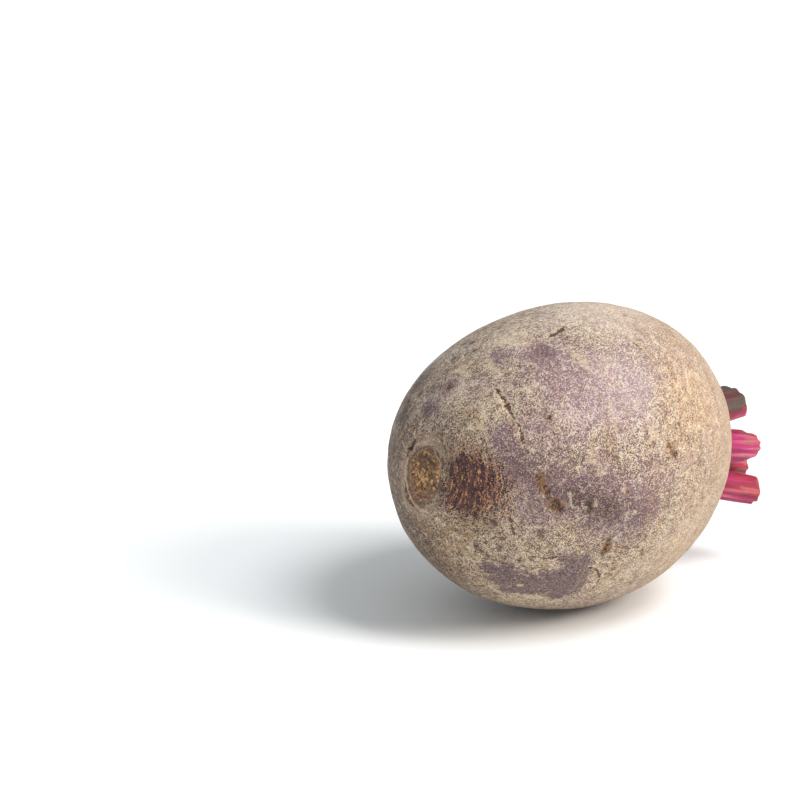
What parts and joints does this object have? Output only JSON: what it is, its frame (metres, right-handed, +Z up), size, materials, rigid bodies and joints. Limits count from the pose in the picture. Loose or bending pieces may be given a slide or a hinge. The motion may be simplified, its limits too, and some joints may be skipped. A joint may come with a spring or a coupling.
{
  "type": "beetroot",
  "caption": "Whole raw beetroot lying on its side, its tail cut off flat and its leaf stalks trimmed to short stumps at the crown; for kitchen, market and garden scenes.",
  "frame": {"origin": "on the surface that the beetroot lies on, under the middle of its bounding box", "axes": "+Z up, +X from the cut tail towards the crown and its leaf stalks"},
  "size_m": [0.1096, 0.0796, 0.0772],
  "materials": {
    "skin": "dry, earthy, speckled matt skin",
    "leaf_stalk": "moist ribbed magenta stalk, satin"
  },
  "bodies": {
    "root": {"swollen_root": "skin", "leaf_stalk_1": "leaf_stalk", "leaf_stalk_2": "leaf_stalk", "leaf_stalk_3": "leaf_stalk", "leaf_stalk_4": "leaf_stalk", "leaf_stalk_5": "leaf_stalk", "leaf_stalk_6": "leaf_stalk", "leaf_stalk_7": "leaf_stalk", "leaf_stalk_8": "leaf_stalk"}
  },
  "joints": []
}
